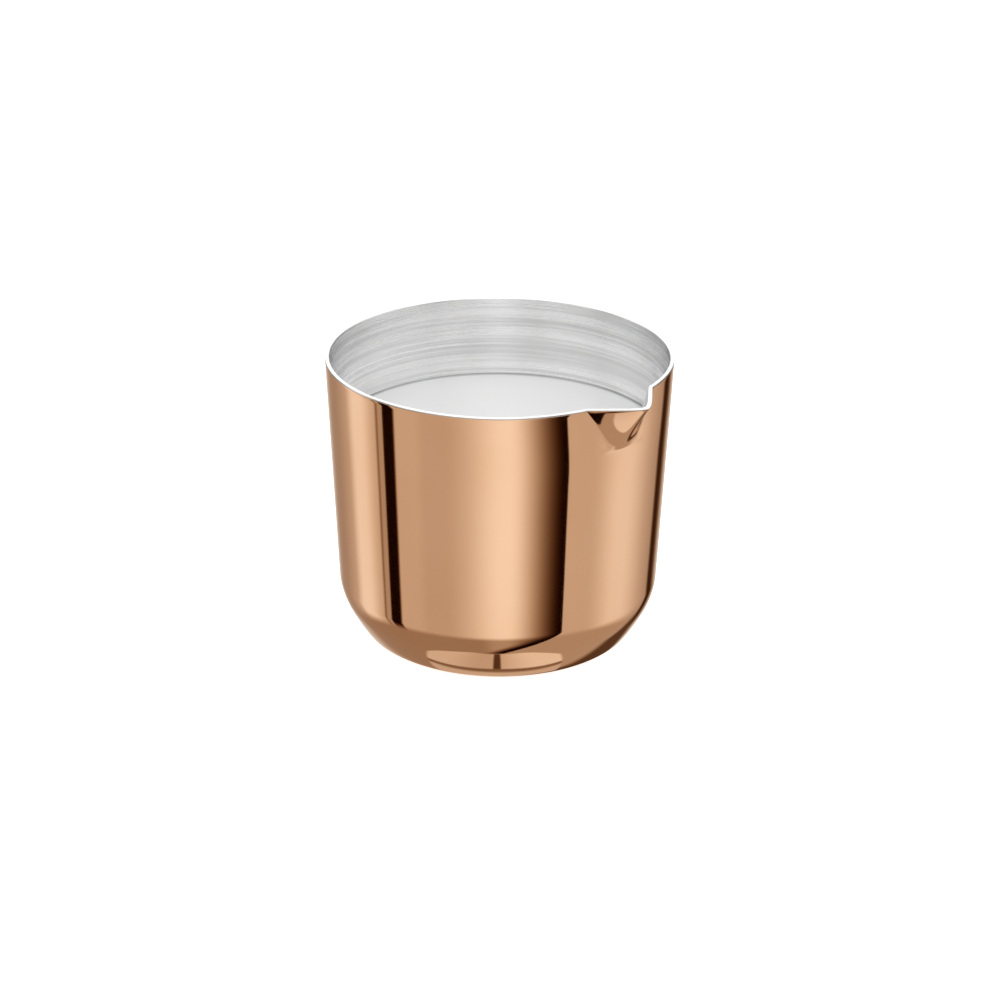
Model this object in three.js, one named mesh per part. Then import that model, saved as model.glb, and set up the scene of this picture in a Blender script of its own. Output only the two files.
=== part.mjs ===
// A small handleless milk jug: two drawn metal cups, one nested in the other, with a pouring spout pinched
// into the rim, filled with milk. Millimetres, +Z up. The origin is the centre of the flat base, and the
// spout points along +X.
import * as THREE from "three";

// Driving dimensions of the outside of the jug.
const RIM_RADIUS = 45;
const HEIGHT = 75.5;
const WALL_DRAFT = radians(2.6); // the wall leans in towards the base
const CORNER_RADIUS = 18; // wall to bottom slope
const BOTTOM_SLOPE = radians(59.5); // above the horizontal
const HEEL_RADIUS = 3; // bottom slope to flat base
const BASE_RADIUS = 35.7; // where the bottom slope would meet the ground

// Sheet metal. An offset is a distance inwards from the outside of the jug.
const SHELL_SHEET = 0.5;
const LINER_SHEET = 0.5;
const SEAM = 0.1; // between shell and liner
const LINER_OFFSET = SHELL_SHEET + SEAM;
const INSIDE_OFFSET = LINER_OFFSET + LINER_SHEET;
const LIP_HEIGHT = 0.4; // the liner's edge, turned out over the shell's edge
const SHELL_TOP = HEIGHT - LIP_HEIGHT - SEAM;

// Pouring spout: a V in plan that narrows down the wall until it runs out.
const SPOUT_REACH = 53.6; // the V's sharp corner, from the jug's axis, at the rim
const SPOUT_HALF_WIDTH = radians(13.9); // the V's folds at the rim, as an angle at the jug's axis
const SPOUT_DEPTH = 12.5; // below the rim, where the V runs out into the wall
const SPOUT_TAPER = 0.68; // the share of its width that the V has lost at its foot
const SPOUT_TIP_SOFTNESS = radians(1.65); // rounds the V's corner at the rim
const SPOUT_FOOT_SOFTNESS = radians(2.5); // and at its foot
const SPOUT_BLEND = 0.6; // rounds the fold between the V and the wall
const PULL_IN = 0.7; // the pinch draws the wall in on both sides of the spout
const PULL_IN_ANGLE = radians(50);
const PULL_IN_DEPTH = 19;

// Milk.
const FREEBOARD = 22; // from the rim down to the milk
const MILK_GAP = 0.15;

// Fineness of the mesh.
const DIVISIONS = 64;
const CROWDING = 0.6; // how strongly the divisions crowd towards the spout
const WALL_STEP = 2.5;
const CORNER_STEPS = 4;
const HEEL_STEPS = 3;

function radians(degrees) {
  return (degrees * Math.PI) / 180;
}

// The straight lines of the outside profile: how far each one's outward normal points down, and a point on it.
const wallLine = { tilt: WALL_DRAFT, point: new THREE.Vector2(RIM_RADIUS, HEIGHT) };
const slopeLine = { tilt: Math.PI / 2 - BOTTOM_SLOPE, point: new THREE.Vector2(BASE_RADIUS, 0) };
const baseLine = { tilt: Math.PI / 2, point: new THREE.Vector2(0, 0) };

function normalOf(tilt) {
  return new THREE.Vector2(Math.cos(tilt), -Math.sin(tilt));
}

// The centre of the circle of this radius that touches both lines from inside.
function filletCentre(lineA, lineB, radius) {
  const a = normalOf(lineA.tilt);
  const b = normalOf(lineB.tilt);
  const reachA = a.dot(lineA.point) - radius;
  const reachB = b.dot(lineB.point) - radius;
  const det = a.x * b.y - a.y * b.x;
  return new THREE.Vector2((reachA * b.y - reachB * a.y) / det, (reachB * a.x - reachA * b.x) / det);
}

const cornerCentre = filletCentre(wallLine, slopeLine, CORNER_RADIUS);
const heelCentre = filletCentre(slopeLine, baseLine, HEEL_RADIUS);

function arcPoints(centre, radius, fromTilt, toTilt, steps) {
  return Array.from({ length: steps + 1 }, (_, i) =>
    normalOf(THREE.MathUtils.lerp(fromTilt, toTilt, i / steps)).multiplyScalar(radius).add(centre),
  );
}

function wallRadius(z, offset = 0) {
  return RIM_RADIUS - (HEIGHT - z) * Math.tan(WALL_DRAFT) - offset / Math.cos(WALL_DRAFT);
}

// Points of the profile at an offset inside the outside, from the axis at the base up to topZ on the wall.
function risingOutline(offset, topZ) {
  const heel = arcPoints(heelCentre, HEEL_RADIUS - offset, baseLine.tilt, slopeLine.tilt, HEEL_STEPS);
  const corner = arcPoints(cornerCentre, CORNER_RADIUS - offset, slopeLine.tilt, wallLine.tilt, CORNER_STEPS);
  const wall = [];
  for (let z = HEIGHT - SPOUT_DEPTH - SPOUT_BLEND * 2; z < topZ - WALL_STEP / 2; z += WALL_STEP) {
    wall.push(new THREE.Vector2(wallRadius(z, offset), z));
  }
  wall.push(new THREE.Vector2(wallRadius(topZ, offset), topZ));
  return [new THREE.Vector2(0, offset), ...heel, ...corner, ...wall];
}

// The larger of two radii, with the crossing rounded over.
function softLarger(a, b, blend) {
  const closeness = Math.max(blend - Math.abs(a - b), 0) / blend;
  return Math.max(a, b) + (closeness ** 3 * blend) / 6;
}

// The radius that a wall point at this angle from the spout and this height is pressed out, or drawn in, to.
function pressedRadius(radius, angle, z) {
  const depth = HEIGHT - z;
  const outside = wallRadius(z);
  const inset = outside - radius;
  const nearness = Math.max(1 - Math.abs(angle) / PULL_IN_ANGLE, 0) * Math.max(1 - depth / PULL_IN_DEPTH, 0);
  const drawnIn = radius - PULL_IN * Math.sin((nearness * Math.PI) / 2) ** 2;
  if (depth >= SPOUT_DEPTH) return drawnIn;
  const share = depth / SPOUT_DEPTH;
  const corner = outside + (SPOUT_REACH - RIM_RADIUS) * (1 - share);
  const halfWidth = SPOUT_HALF_WIDTH * (1 - share * SPOUT_TAPER);
  const halfAngle = Math.atan2(outside * Math.sin(halfWidth), corner - outside * Math.cos(halfWidth));
  const fromTip = Math.hypot(angle, THREE.MathUtils.lerp(SPOUT_TIP_SOFTNESS, SPOUT_FOOT_SOFTNESS, share));
  const nearest = corner * Math.sin(halfAngle) - inset; // the V's side to the jug's axis
  const turn = Math.sin(halfAngle + fromTip);
  const wing = halfAngle + fromTip < Math.PI / 2 ? nearest / turn : nearest * turn;
  return softLarger(drawnIn, wing, SPOUT_BLEND * (1 - share * share));
}

// Turns a profile about +Z with the divisions crowded towards the spout, and presses the spout into it.
function turned(profile) {
  const geometry = new THREE.LatheGeometry(profile, DIVISIONS, Math.PI / 2);
  geometry.rotateX(Math.PI / 2);
  const position = geometry.getAttribute("position");
  const point = new THREE.Vector3();
  const spoutLimit = HEIGHT - SPOUT_DEPTH - SPOUT_BLEND * 2;
  for (let i = 0; i < position.count; i += 1) {
    point.fromBufferAttribute(position, i);
    const radius = Math.hypot(point.x, point.y);
    const even = Math.atan2(point.y, point.x);
    const angle = even - CROWDING * Math.sin(even);
    const pressed = point.z > spoutLimit ? pressedRadius(radius, angle, point.z) : radius;
    position.setXYZ(i, pressed * Math.cos(angle), pressed * Math.sin(angle), point.z);
  }
  geometry.computeVertexNormals();
  return geometry;
}

// Turns every face round, for a profile drawn in the opposite sense.
function flipped(geometry) {
  const corners = geometry.index.array;
  for (let i = 0; i < corners.length; i += 3) {
    [corners[i + 1], corners[i + 2]] = [corners[i + 2], corners[i + 1]];
  }
  geometry.computeVertexNormals();
  return geometry;
}

function outerShell() {
  const outside = risingOutline(0, SHELL_TOP);
  const inside = risingOutline(SHELL_SHEET, SHELL_TOP);
  return turned([...outside, ...inside.reverse()]);
}

// The liner's profile runs the other way round from the shell's, so that the faces on both sides of the
// seam are split along the same diagonals and the seam stays open everywhere.
function innerLiner() {
  const inside = risingOutline(INSIDE_OFFSET, HEIGHT);
  const lipBase = HEIGHT - LIP_HEIGHT;
  const lip = [
    new THREE.Vector2(RIM_RADIUS, HEIGHT),
    new THREE.Vector2(wallRadius(lipBase), lipBase),
  ];
  const outside = risingOutline(LINER_OFFSET, lipBase);
  return flipped(turned([...inside, ...lip, ...outside.reverse()]));
}

function milkFill() {
  const surface = HEIGHT - FREEBOARD;
  const offset = INSIDE_OFFSET + MILK_GAP;
  const heel = arcPoints(heelCentre, HEEL_RADIUS - offset, baseLine.tilt, slopeLine.tilt, HEEL_STEPS);
  const corner = arcPoints(cornerCentre, CORNER_RADIUS - offset, slopeLine.tilt, wallLine.tilt, CORNER_STEPS);
  const edge = new THREE.Vector2(wallRadius(surface, offset), surface);
  return turned([new THREE.Vector2(0, offset), ...heel, ...corner, edge, new THREE.Vector2(0, surface)]);
}

function piece(name, geometry, look) {
  const mesh = new THREE.Mesh(geometry, new THREE.MeshStandardMaterial(look));
  mesh.name = name;
  return mesh;
}

const jug = new THREE.Group();
jug.add(
  piece("outer_shell", outerShell(), { color: 0xd9a07a, metalness: 1, roughness: 0.05 }),
  piece("inner_liner", innerLiner(), { color: 0xc9c9c7, metalness: 1, roughness: 0.35 }),
  piece("milk", milkFill(), { color: 0xf1efe9, metalness: 0, roughness: 0.3 }),
);

export default jug;
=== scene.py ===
from math import atan2, cos, hypot, pi, radians, sin, tan

import bmesh
import bpy
from mathutils import Matrix, Vector


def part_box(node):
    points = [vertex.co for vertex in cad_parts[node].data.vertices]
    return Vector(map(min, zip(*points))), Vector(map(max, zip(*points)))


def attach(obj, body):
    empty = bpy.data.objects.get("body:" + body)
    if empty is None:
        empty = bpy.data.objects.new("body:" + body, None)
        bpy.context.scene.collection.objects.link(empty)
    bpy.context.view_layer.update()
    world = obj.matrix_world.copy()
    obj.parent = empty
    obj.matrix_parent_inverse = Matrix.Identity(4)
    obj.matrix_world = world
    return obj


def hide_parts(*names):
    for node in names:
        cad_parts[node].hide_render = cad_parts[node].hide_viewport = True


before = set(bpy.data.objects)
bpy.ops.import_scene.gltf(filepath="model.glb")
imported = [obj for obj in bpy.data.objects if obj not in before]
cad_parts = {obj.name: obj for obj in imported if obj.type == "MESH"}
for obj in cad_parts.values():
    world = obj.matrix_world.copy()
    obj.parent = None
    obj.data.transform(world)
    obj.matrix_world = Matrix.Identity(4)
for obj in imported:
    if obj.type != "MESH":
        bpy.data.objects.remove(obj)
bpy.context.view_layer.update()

mm = 0.001
scene = bpy.context.scene


# Shader nodes: a Wire is a node's output socket that can be used in sums.

class Wire:
    def __init__(self, board, socket):
        self.board = board
        self.socket = socket

    def maths(self, operation, *values):
        inputs = dict(enumerate(values))
        return self.board.add("ShaderNodeMath", {"operation": operation}, inputs)

    def __add__(self, other):
        return self.maths("ADD", self, other)

    def __radd__(self, other):
        return self.maths("ADD", other, self)

    def __sub__(self, other):
        return self.maths("SUBTRACT", self, other)

    def __rsub__(self, other):
        return self.maths("SUBTRACT", other, self)

    def __mul__(self, other):
        return self.maths("MULTIPLY", self, other)

    def __rmul__(self, other):
        return self.maths("MULTIPLY", other, self)

    def __truediv__(self, other):
        return self.maths("DIVIDE", self, other)

    def __pow__(self, other):
        return self.maths("POWER", self, other)

    def between(self, low, high):  # 0 below low, 1 above high, smooth in between
        settings = {"interpolation_type": "SMOOTHSTEP"}
        inputs = {"Value": self, "From Min": low, "From Max": high}
        return self.board.add("ShaderNodeMapRange", settings, inputs)


class Board:
    def __init__(self, owner):
        owner.use_nodes = True
        self.tree = owner.node_tree
        self.tree.nodes.clear()

    def add(self, kind, settings=None, inputs=None, out=0):
        node = self.tree.nodes.new(kind)
        for key, value in (settings or {}).items():
            setattr(node, key, value)
        for key, value in (inputs or {}).items():
            if isinstance(value, Wire):
                self.tree.links.new(value.socket, node.inputs[key])
            else:
                node.inputs[key].default_value = value
        return Wire(self, node.outputs[out]) if len(node.outputs) else node

    def mix(self, factor, first, second):  # numbers
        return self.add("ShaderNodeMix", {"data_type": "FLOAT"}, {0: factor, 2: first, 3: second})

    def mixColour(self, factor, first, second, blend="MIX"):
        settings = {"data_type": "RGBA", "blend_type": blend}
        return self.add("ShaderNodeMix", settings, {0: factor, 6: first, 7: second}, out=2)

    def noise(self, vector, scale, detail=3, roughness=0.5):
        inputs = {"Vector": vector, "Scale": scale, "Detail": detail, "Roughness": roughness}
        return self.add("ShaderNodeTexNoise", None, inputs)


def grey(level):
    return (level, level, level, 1)


# The camera, the white room and the floor.

view = {
    "azimuth": radians(46),  # from the jug's -Y side round towards the spout
    "elevation": radians(23.53),
    "distance": 0.63,  # to the jug's axis at half its height
    "lens": 85.95,
    "aimLower": 3.14 * mm,
    "aimRight": 0.40 * mm,
    "roll": radians(0.532),
}


def makeCamera(height):
    flat = cos(view["elevation"])
    away = Vector((sin(view["azimuth"]) * flat, -cos(view["azimuth"]) * flat, sin(view["elevation"])))
    middle = Vector((0, 0, height / 2))
    right = Vector((0, 0, 1)).cross(away).normalized()
    up = away.cross(right)
    place = middle + away * view["distance"]
    aim = middle + right * view["aimRight"] - up * view["aimLower"]
    turn = (place - aim).to_track_quat("Z", "Y").to_matrix().to_4x4()
    camera = bpy.data.objects.new("camera", bpy.data.cameras.new("camera"))
    camera.data.lens = view["lens"]
    camera.data.sensor_width = 36
    camera.matrix_world = Matrix.Translation(place) @ turn @ Matrix.Rotation(view["roll"], 4, "Z")
    scene.collection.objects.link(camera)
    scene.camera = camera


studio = {
    # Strips of the room round the jug, laid one over another: where each begins, is full, starts to fade and
    # ends, in degrees from the camera's side, positive to its right, and then how bright it is.
    "strips": {
        "leftLight": (-125, -113, -107, -90, 0.93),
        "leftFrame": (-92, -91, -85, -84, 0.46),
        "frameLine": (-91, -90, -89.5, -88, 0.25),
        "leftGap": (-85.2, -83.7, -75.8, -73.2, 0.01),
        "frontShade": (-60, -50, -38, -26, 0.57),
        "mainLight": (-32, 4, 10, 50, 1.0),
        "rightLight": (66, 93, 99, 125, 0.87),
        "rightGap": (136, 142, 146, 160, 0.04),
    },
    "room": 0.62,
    "rear": 0.40,  # the room darkens towards the rear
    "rearFrom": (114, 144),
    "backdrop": 0.95,  # and brightens again right behind the jug
    "backdropFrom": (150, 180),
    # under the strips
    "lowLeft": 0.35,
    "lowRight": 0.47,
    "lowRear": 0.78,
    "lowGap": (128, 140, 160, 176, 0.10),
    "stripFoot": (49, 57.5),  # degrees from straight down where the strips begin
    # a black flag in front, with a sharp edge on its right that slants away under the jug
    "flagEdge": 49,
    "flagSlant": 41,
    "flagBend": 1.4,
    "flagFoot": (24, 58),
    "flagFade": (26, 42),  # how far it takes to fade out to the left, at its foot and above
    "flagCore": (0.3, 0.05),  # the share of that which stays black
    # the bright patch straight under the jug
    "patch": 25.5,  # degrees from its middle to its edge
    "patchHollow": 0.023,  # how strongly its rear edge curves
    "patchDip": 3,  # and its front edge
    "patchLevel": 0.58,
    "upperGain": 1.5,  # the strips' upper halves are brighter
    "overhead": 1.38,
    "rearShade": 0.85,  # how dark the two gaps behind the jug are
    "warmth": (0.29, 0.57),  # how much faster green and blue fall off than red, low down
}


def strip(angle, begins, full, fades, ends):
    return angle.between(begins, full) * (1 - angle.between(fades, ends))


def wallsAround(board, azimuth, fromDown):
    # the lit strips round the jug and the dimmer room under them
    besides = azimuth.maths("ABSOLUTE", azimuth)
    walls = board.mix(besides.between(*studio["rearFrom"]), studio["room"], studio["rear"])
    walls = board.mix(besides.between(*studio["backdropFrom"]), walls, studio["backdrop"])
    for *edges, level in studio["strips"].values():
        walls = board.mix(strip(azimuth, *edges), walls, level)
    low = board.mix(azimuth.between(-15, 2), studio["lowLeft"], studio["lowRight"])
    low = board.mix(besides.between(142, 172), low, studio["lowRear"])
    *edges, level = studio["lowGap"]
    low = board.mix(strip(azimuth, *edges), low, level)
    return board.mix(fromDown.between(*studio["stripFoot"]), low, walls)


def flagInFront(board, azimuth, fromDown):
    lowest, highest = studio["flagFoot"]
    height = (highest - fromDown) / (highest - lowest)
    height = height.maths("MAXIMUM", height, 0)
    edge = studio["flagEdge"] - studio["flagSlant"] * height ** studio["flagBend"]
    raised = fromDown.between(40, 54)
    behindEdge = (edge - azimuth) / board.mix(raised, *studio["flagFade"])
    core = board.mix(raised, *studio["flagCore"])
    return strip(behindEdge, 0, 0.02, core, 1) * fromDown.between(lowest - 2, lowest + 1)


def patchBelow(board, azimuth, fromDown, around):
    # two bright lobes with a dark joint between them, and a dark line behind them
    sideways = fromDown * azimuth.maths("SINE", azimuth)
    forwards = fromDown * azimuth.maths("COSINE", azimuth)
    rightLobe = 0.28 * sideways.between(-4, 16)
    leftLobe = 0.12 * (1 - sideways.between(-20, -6))
    joint = strip(sideways, -1.9, -1, 1, 1.9)
    lobes = (studio["patchLevel"] + rightLobe + leftLobe) * (1 - joint * 0.85)
    inFront = forwards + sideways ** 2 * studio["patchHollow"]
    behind = board.mix(inFront.between(-5, -2), 0.62, 0.22)
    patch = board.mix(inFront.between(-0.8, 0.8), behind, lobes)
    aside = sideways.maths("ABSOLUTE", sideways)
    dip = studio["patchDip"] * (1 - aside.between(2, 14))
    outside = fromDown + sideways.between(16, 25) * 2.5 + dip - studio["patch"]
    return board.mix(outside.between(-0.8, 0.8), patch, around)


def makeStudio():
    print("studio light")
    world = bpy.data.worlds.new("whiteRoom")
    scene.world = world
    board = Board(world)
    direction = board.add("ShaderNodeTexCoord", out="Generated")
    turned = board.add("ShaderNodeMapping", {"vector_type": "VECTOR"}, {
        "Vector": direction, "Rotation": (0, 0, pi / 2 - view["azimuth"])})
    parts = board.add("ShaderNodeSeparateXYZ", None, {"Vector": turned}).socket.node.outputs
    toCamera, toRight, upward = (Wire(board, socket) for socket in parts)
    degree = 180 / pi
    turn = toRight.maths("ARCTAN2", toRight, toCamera)
    azimuth = turn * degree
    fromDown = upward.maths("ARCCOSINE", upward * -1) * degree

    walls = wallsAround(board, azimuth, fromDown)
    walls = walls * (1 - flagInFront(board, azimuth, fromDown) * 0.985)
    low = patchBelow(board, turn, fromDown, walls)

    # the strips stand tall, and a wide soft light hangs over everything
    tall = low * board.mix(fromDown.between(85, 105), 1, studio["upperGain"])
    level = board.mix(fromDown.between(118, 138), tall, studio["overhead"])
    besides = azimuth.maths("ABSOLUTE", azimuth)
    gap = strip(besides, 114, 128, 148, 162) * strip(fromDown, 80, 92, 150, 170)
    level = level * (1 - gap * studio["rearShade"])
    camera = board.add("ShaderNodeLightPath", out="Is Camera Ray")
    level = board.mix(camera, level, 1)

    warm = 1 - fromDown.between(85, 105)
    greenFall, blueFall = studio["warmth"]
    green = level ** (1 + warm * greenFall)
    blue = level ** (1 + warm * blueFall)
    colour = board.add("ShaderNodeCombineColor", None, {0: level, 1: green, 2: blue})
    light = board.add("ShaderNodeBackground", None, {"Color": colour, "Strength": 1})
    board.add("ShaderNodeOutputWorld", None, {"Surface": light})


paleFloor = {
    "halfSide": 3,
    "darkTone": 0.90,
    "lightTone": 0.92,
    "cloudScale": 6,
    "roughness": 0.9,
    "glow": 0.7,  # lifts the contact shadow
}


def makeFloor():
    bm = bmesh.new()
    bmesh.ops.create_grid(bm, x_segments=8, y_segments=8, size=paleFloor["halfSide"])
    mesh = bpy.data.meshes.new("floor")
    bm.to_mesh(mesh)
    bm.free()
    floor = bpy.data.objects.new("floor", mesh)
    scene.collection.objects.link(floor)
    material = bpy.data.materials.new("paleFloor")
    board = Board(material)
    position = board.add("ShaderNodeTexCoord", out="Object")
    tone = board.noise(position, paleFloor["cloudScale"])
    colour = board.mixColour(tone, grey(paleFloor["darkTone"]), grey(paleFloor["lightTone"]))
    shader = board.add("ShaderNodeBsdfPrincipled", None, {
        "Base Color": colour, "Roughness": paleFloor["roughness"],
        "Emission Color": grey(1), "Emission Strength": paleFloor["glow"]})
    board.add("ShaderNodeOutputMaterial", None, {"Surface": shader})
    mesh.materials.append(material)
    floor.visible_glossy = False


# The jug's outline. Heights and radii are the CAD's own.

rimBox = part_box("inner_liner")
jug = {
    "height": rimBox[1].z,
    "rimRadius": -rimBox[0].x,
    "draft": radians(2.6),
    "cornerRadius": 18 * mm,
    "slopeTilt": radians(30.5),
    "slopeCrown": radians(4),  # the slope bulges a little: its tilt varies this much to either side
    "heelRadius": 3 * mm,
    "baseRadius": 35.7 * mm,
    "divisions": 320,
    "crowding": 0.7,  # towards the spout
}

spout = {
    "reach": 53.6 * mm,
    "halfWidth": radians(13.9),
    "depth": 12.5 * mm,
    "taper": 0.68,  # the share of its width that it has lost at its foot
    "tipSoftness": radians(1.65),
    "footSoftness": radians(2.5),
    "blend": 0.6 * mm,
    "pullIn": 0.7 * mm,
    "pullInAngle": radians(50),
    "pullInDepth": 19 * mm,
}


def facing(tilt):
    return Vector((cos(tilt), 0, -sin(tilt)))


def filletCentre(tiltA, pointA, tiltB, pointB, radius):
    a = facing(tiltA)
    b = facing(tiltB)
    reachA = a.dot(Vector(pointA)) - radius
    reachB = b.dot(Vector(pointB)) - radius
    det = a.x * b.z - a.z * b.x
    return Vector(((reachA * b.z - reachB * a.z) / det, 0, (reachB * a.x - reachA * b.x) / det))


highTilt = jug["slopeTilt"] - jug["slopeCrown"]
lowTilt = jug["slopeTilt"] + jug["slopeCrown"]
heelCentre = filletCentre(jug["slopeTilt"], (jug["baseRadius"], 0, 0), pi / 2, (0, 0, 0), jug["heelRadius"])


def crownRadius():
    # the slope's own radius, so that slope and corner run tangentially into the wall
    across = facing(jug["draft"])
    wallTop = Vector((jug["rimRadius"], 0, jug["height"]))
    heelEnd = heelCentre + facing(lowTilt) * jug["heelRadius"] - facing(highTilt) * jug["cornerRadius"]
    spread = across.dot(facing(highTilt) - facing(lowTilt))
    return (across.dot(wallTop - heelEnd) - jug["cornerRadius"]) / spread


slopeRadius = crownRadius()
slopeCentre = heelCentre + facing(lowTilt) * (jug["heelRadius"] - slopeRadius)
cornerCentre = slopeCentre + facing(highTilt) * (slopeRadius - jug["cornerRadius"])
pressFoot = jug["height"] - spout["pullInDepth"]


def wallRadius(z, offset=0):
    return jug["rimRadius"] - (jug["height"] - z) * tan(jug["draft"]) - offset / cos(jug["draft"])


class Pen:
    # draws a profile in the XZ plane, one vertex pulled along
    def __init__(self, radius, z):
        self.bm = bmesh.new()
        self.tip = self.bm.verts.new((radius, 0, z))

    def line(self, radius, z, steps=1):
        drawn = bmesh.ops.extrude_vert_indiv(self.bm, verts=[self.tip])
        end = Vector((radius, 0, z))
        drawn["verts"][0].co = end
        if steps > 1:
            bmesh.ops.subdivide_edges(self.bm, edges=drawn["edges"], cuts=steps - 1)
        self.tip = min(self.bm.verts, key=lambda vert: (vert.co - end).length)

    def arc(self, centre, angle, steps):
        end = centre + Matrix.Rotation(angle, 3, (0, -1, 0)) @ (self.tip.co - centre)
        bmesh.ops.spin(self.bm, geom=[self.tip], cent=centre, axis=(0, -1, 0), angle=angle, steps=steps)
        self.tip = min(self.bm.verts, key=lambda vert: (vert.co - end).length)

    def rise(self, offset, topZ, steps=30):
        # from the axis out over the base, round the heel and the corner, and up the wall
        self.line(heelCentre.x, offset, 6)
        self.arc(heelCentre, pi / 2 - lowTilt, 8)
        self.arc(slopeCentre, lowTilt - highTilt, 6)
        self.arc(cornerCentre, highTilt - jug["draft"], 20)
        self.line(wallRadius(pressFoot, offset), pressFoot, 3)
        self.line(wallRadius(topZ, offset), topZ, steps)

    def fall(self, offset, steps=30):
        # the same way back, down the inside
        self.line(wallRadius(pressFoot, offset), pressFoot, steps)
        start = cornerCentre + facing(jug["draft"]) * (jug["cornerRadius"] - offset)
        self.line(start.x, start.z, 3)
        self.arc(cornerCentre, jug["draft"] - highTilt, 20)
        self.arc(slopeCentre, highTilt - lowTilt, 6)
        self.arc(heelCentre, lowTilt - pi / 2, 8)
        self.line(0, offset, 6)


def softLarger(a, b, blend):
    closeness = max(blend - abs(a - b), 0) / blend
    return max(a, b) + closeness ** 3 * blend / 6


def pressedRadius(radius, angle, z):
    depth = jug["height"] - z
    outside = wallRadius(z)
    inset = outside - radius
    nearness = max(1 - abs(angle) / spout["pullInAngle"], 0) * max(1 - depth / spout["pullInDepth"], 0)
    drawnIn = radius - spout["pullIn"] * sin(nearness * pi / 2) ** 2
    if depth >= spout["depth"]:
        return drawnIn
    share = depth / spout["depth"]
    corner = outside + (spout["reach"] - jug["rimRadius"]) * (1 - share)
    halfWidth = spout["halfWidth"] * (1 - share * spout["taper"])
    halfAngle = atan2(outside * sin(halfWidth), corner - outside * cos(halfWidth))
    fromTip = hypot(angle, spout["tipSoftness"] + (spout["footSoftness"] - spout["tipSoftness"]) * share)
    nearest = corner * sin(halfAngle) - inset  # the V's side to the jug's axis
    turn = sin(halfAngle + fromTip)
    wing = nearest / turn if halfAngle + fromTip < pi / 2 else nearest * turn
    return softLarger(drawnIn, wing, spout["blend"] * (1 - share * share))


def spinPiece(pen):
    bm = pen.bm
    geom = bm.verts[:] + bm.edges[:]
    bmesh.ops.spin(bm, geom=geom, cent=(0, 0, 0), axis=(0, 0, 1), angle=2 * pi,
                   steps=jug["divisions"], use_merge=True)
    bmesh.ops.remove_doubles(bm, verts=bm.verts[:], dist=0.002 * mm)
    bmesh.ops.recalc_face_normals(bm, faces=bm.faces[:])
    return bm


def ringEdges(bm, radius, z):
    def onRing(vert):
        return abs(vert.co.z - z) < 0.01 * mm and abs(hypot(vert.co.x, vert.co.y) - radius) < 0.01 * mm

    return [edge for edge in bm.edges if onRing(edge.verts[0]) and onRing(edge.verts[1])]


def roundOver(bm, edges, radius):
    bmesh.ops.bevel(bm, geom=edges, offset=radius, offset_type="OFFSET", affect="EDGES",
                    segments=3, profile=0.5, material=-1)


def pressSpout(bm):
    # keeps each ring's place along the profile, then crowds the divisions and presses the spout out
    ringLayer = bm.verts.layers.float.new("ringPlace")
    for vert in bm.verts:
        radius = hypot(vert.co.x, vert.co.y)
        vert[ringLayer] = radius + vert.co.z
        if radius < 0.01 * mm:
            continue
        even = atan2(vert.co.y, vert.co.x)
        angle = even - jug["crowding"] * sin(even)
        if vert.co.z > pressFoot:
            radius = pressedRadius(radius, angle, vert.co.z)
        vert.co.x = radius * cos(angle)
        vert.co.y = radius * sin(angle)


def finishPiece(name, bm, material, node):
    mesh = bpy.data.meshes.new(name)
    for face in bm.faces:
        face.smooth = True
    bm.to_mesh(mesh)
    bm.free()
    mesh.materials.append(material)
    piece = bpy.data.objects.new(name, mesh)
    scene.collection.objects.link(piece)
    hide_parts(node)
    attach(piece, "root")
    print(name, len(mesh.polygons), "faces")
    return piece


# Outer shell: mirror-polished copper.

copperShell = {
    "sheet": 0.5 * mm,
    "top": 0.41 * mm,  # below the rim, under the liner's turned-out edge
    "edgeRounding": 0.04 * mm,
    "colour": (0.93, 0.605, 0.39, 1),
    "deepColour": (0.90, 0.565, 0.35, 1),
    "roughness": 0.045,
    "polishLines": 0.02,  # how much the fine polishing lines vary the roughness
    "smears": 0.02,
    "linesAlong": 12,  # noise cells per metre round the jug
    "linesAcross": 1800,  # and up the wall
    "cloudScale": 35,
    "smearScale": 160,
    "bumpStrength": 0.05,
    "bumpHeight": 0.02 * mm,
}


def copperMaterial():
    material = bpy.data.materials.new("polishedCopper")
    board = Board(material)
    position = board.add("ShaderNodeTexCoord", out="Object")
    ring = board.add("ShaderNodeAttribute", {"attribute_name": "ringPlace"}, out="Fac")
    parts = board.add("ShaderNodeSeparateXYZ", None, {"Vector": position}).socket.node.outputs
    x, y = (Wire(board, socket) for socket in parts[:2])
    along = copperShell["linesAlong"]
    polish = {0: x * along, 1: y * along, 2: ring * copperShell["linesAcross"]}
    lines = board.noise(board.add("ShaderNodeCombineXYZ", None, polish), 1, 3, 0.6)
    cloudy = board.noise(position, copperShell["cloudScale"], 4)
    wipes = board.noise(position, copperShell["smearScale"], 5, 0.65)
    tint = board.mixColour(cloudy.between(0.3, 0.75), copperShell["colour"], copperShell["deepColour"])
    smear = wipes.between(0.55, 0.8) * cloudy.between(0.5, 0.7)
    roughness = copperShell["roughness"] + (lines - 0.5) * copperShell["polishLines"]
    roughness = roughness + smear * copperShell["smears"]
    bump = board.add("ShaderNodeBump", None, {
        "Strength": copperShell["bumpStrength"], "Distance": copperShell["bumpHeight"], "Height": lines})
    shader = board.add("ShaderNodeBsdfPrincipled", None, {
        "Base Color": tint, "Metallic": 1.0, "Roughness": roughness, "Normal": bump})
    board.add("ShaderNodeOutputMaterial", None, {"Surface": shader})
    return material


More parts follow.
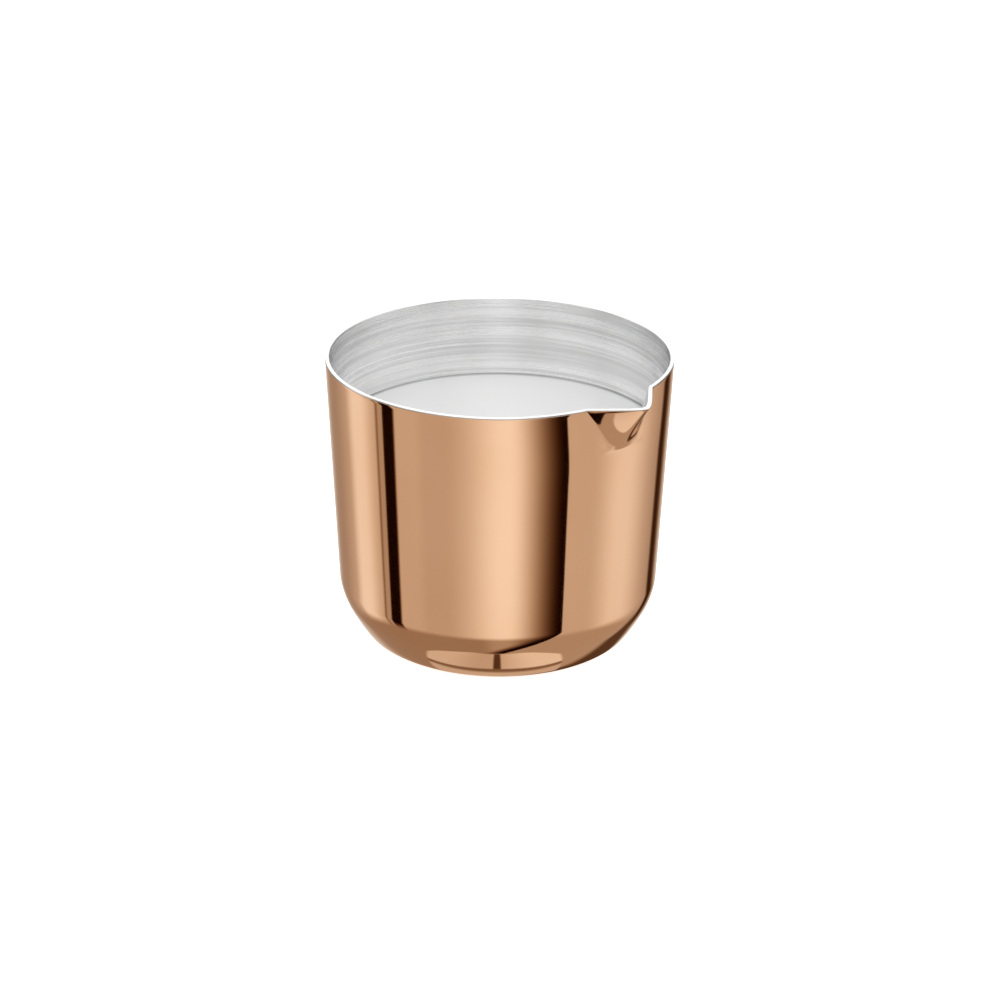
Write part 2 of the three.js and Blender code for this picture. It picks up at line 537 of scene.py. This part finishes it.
def makeOuterShell():
    top = jug["height"] - copperShell["top"]
    pen = Pen(0, 0)
    pen.rise(0, top)
    pen.line(wallRadius(top, copperShell["sheet"]), top)
    pen.fall(copperShell["sheet"])
    bm = spinPiece(pen)
    roundOver(bm, ringEdges(bm, wallRadius(top), top), copperShell["edgeRounding"])
    pressSpout(bm)
    return finishPiece("copperShell", bm, copperMaterial(), "outer_shell")


# Inner liner: brushed stainless steel, its edge turned out over the shell's and ground flat.

steelLiner = {
    "offset": 0.6 * mm,
    "sheet": 0.5 * mm,
    "lip": 0.4 * mm,
    "rimRounding": 0.12 * mm,
    "colour": (0.97, 0.97, 0.97, 1),
    "darkColour": (0.70, 0.70, 0.70, 1),
    "roughness": 0.26,
    "roughnessSpread": 0.25,
    "hairsAlong": 30,  # noise cells per metre round the jug
    "hairsAcross": 5000,  # and up the wall
    "bandsAlong": 12,
    "bandsAcross": 850,
    "hairShare": 0.4,
    "bumpStrength": 0.25,
    "bumpHeight": 0.04 * mm,
}


def steelMaterial():
    material = bpy.data.materials.new("brushedSteel")
    board = Board(material)
    position = board.add("ShaderNodeTexCoord", out="Object")
    ring = board.add("ShaderNodeAttribute", {"attribute_name": "ringPlace"}, out="Fac")
    parts = board.add("ShaderNodeSeparateXYZ", None, {"Vector": position}).socket.node.outputs
    x, y = (Wire(board, socket) for socket in parts[:2])

    def brushed(along, across, detail, roughness):
        stretched = {0: x * steelLiner[along], 1: y * steelLiner[along], 2: ring * steelLiner[across]}
        return board.noise(board.add("ShaderNodeCombineXYZ", None, stretched), 1, detail, roughness)

    hairs = brushed("hairsAlong", "hairsAcross", 4, 0.65)
    bands = brushed("bandsAlong", "bandsAcross", 2, 0.5)
    scratches = hairs * steelLiner["hairShare"] + bands * (1 - steelLiner["hairShare"])
    tone = board.mixColour(scratches.between(0.34, 0.62), steelLiner["darkColour"], steelLiner["colour"])
    roughness = steelLiner["roughness"] + (scratches - 0.5) * steelLiner["roughnessSpread"]
    bump = board.add("ShaderNodeBump", None, {
        "Strength": steelLiner["bumpStrength"], "Distance": steelLiner["bumpHeight"], "Height": scratches})
    shader = board.add("ShaderNodeBsdfPrincipled", None, {
        "Base Color": tone, "Metallic": 1.0, "Roughness": roughness, "Normal": bump,
        "Anisotropic": 0.6, "Anisotropic Rotation": 0.25})
    board.add("ShaderNodeOutputMaterial", None, {"Surface": shader})
    return material


def makeInnerLiner():
    top = jug["height"]
    inside = steelLiner["offset"] + steelLiner["sheet"]
    lipFoot = top - steelLiner["lip"]
    pen = Pen(0, steelLiner["offset"])
    pen.rise(steelLiner["offset"], lipFoot)
    pen.line(wallRadius(lipFoot), lipFoot)
    pen.line(wallRadius(top), top)
    pen.line(wallRadius(top, inside), top, 3)
    pen.fall(inside)
    bm = spinPiece(pen)
    rims = ringEdges(bm, wallRadius(top), top) + ringEdges(bm, wallRadius(top, inside), top)
    roundOver(bm, rims, steelLiner["rimRounding"])
    pressSpout(bm)
    return finishPiece("steelLiner", bm, steelMaterial(), "inner_liner")


# Milk, standing a little below the spout.

milkFill = {
    "surface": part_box("milk")[1].z,
    "offset": 1.25 * mm,
    "creep": 0.4 * mm,  # how far the milk climbs the steel
    "creepWidth": 1.6 * mm,
    "colour": (0.82, 0.82, 0.82, 1),
    "creamColour": (0.81, 0.805, 0.80, 1),
    "waterlineShadeColour": (0.42, 0.42, 0.42, 1),  # painted shade along the waterline, where the milk meets the steel
    "waterlineShadeWidth": 0.9 * mm,
    "roughness": 0.3,
    "swirlScale": 25,
    "grainScale": 900,
    "bumpStrength": 0.03,
    "bumpHeight": 0.03 * mm,
}


def milkMaterial():
    material = bpy.data.materials.new("stillMilk")
    board = Board(material)
    position = board.add("ShaderNodeTexCoord", out="Object")
    swirl = board.noise(position, milkFill["swirlScale"], 0)
    grain = board.noise(position, milkFill["grainScale"], 2)
    body = board.mixColour(swirl, milkFill["colour"], milkFill["creamColour"])
    flat = board.add("ShaderNodeVectorMath", {"operation": "MULTIPLY"}, {0: position, 1: (1, 1, 0)})
    radius = board.add("ShaderNodeVectorMath", {"operation": "LENGTH"}, {0: flat}, out="Value")
    edge = wallRadius(milkFill["surface"], milkFill["offset"])
    # a dark ring painted round the milk's edge against the steel: painted shade along the waterline
    waterlineShade = radius.between(edge - milkFill["waterlineShadeWidth"], edge)
    tone = board.mixColour(waterlineShade, body, milkFill["waterlineShadeColour"])
    roughness = milkFill["roughness"] + grain * 0.05
    bump = board.add("ShaderNodeBump", None, {
        "Strength": milkFill["bumpStrength"], "Distance": milkFill["bumpHeight"], "Height": grain})
    shader = board.add("ShaderNodeBsdfPrincipled", None, {
        "Base Color": tone, "Roughness": roughness, "Normal": bump, "IOR": 1.35,
        "Subsurface Weight": 0.3, "Subsurface Radius": (0.004, 0.0035, 0.003), "Subsurface Scale": 1.0})
    board.add("ShaderNodeOutputMaterial", None, {"Surface": shader})
    return material


def makeMilk():
    surface = milkFill["surface"]
    offset = milkFill["offset"]
    edge = surface + milkFill["creep"]
    pen = Pen(0, offset)
    pen.line(heelCentre.x, offset, 2)
    pen.arc(heelCentre, pi / 2 - lowTilt, 4)
    pen.arc(slopeCentre, lowTilt - highTilt, 3)
    pen.arc(cornerCentre, highTilt - jug["draft"], 10)
    pen.line(wallRadius(edge, offset), edge, 2)
    pen.line(wallRadius(edge, offset) - milkFill["creepWidth"], edge, 8)
    pen.line(0, surface, 30)
    bm = spinPiece(pen)
    outer = wallRadius(edge, offset)
    for vert in bm.verts:
        inwards = outer - hypot(vert.co.x, vert.co.y)
        if vert.co.z > surface - 0.01 * mm and inwards < milkFill["creepWidth"] + 0.01 * mm:
            climb = max(1 - inwards / milkFill["creepWidth"], 0) ** 2
            vert.co.z = surface + milkFill["creep"] * climb
        elif vert.co.z > surface - 0.01 * mm:
            vert.co.z = surface
    pressSpout(bm)
    return finishPiece("milk", bm, milkMaterial(), "milk")


makeCamera(jug["height"])
makeStudio()
makeFloor()
makeOuterShell()
makeInnerLiner()
makeMilk()
scene.view_settings.view_transform = "Standard"
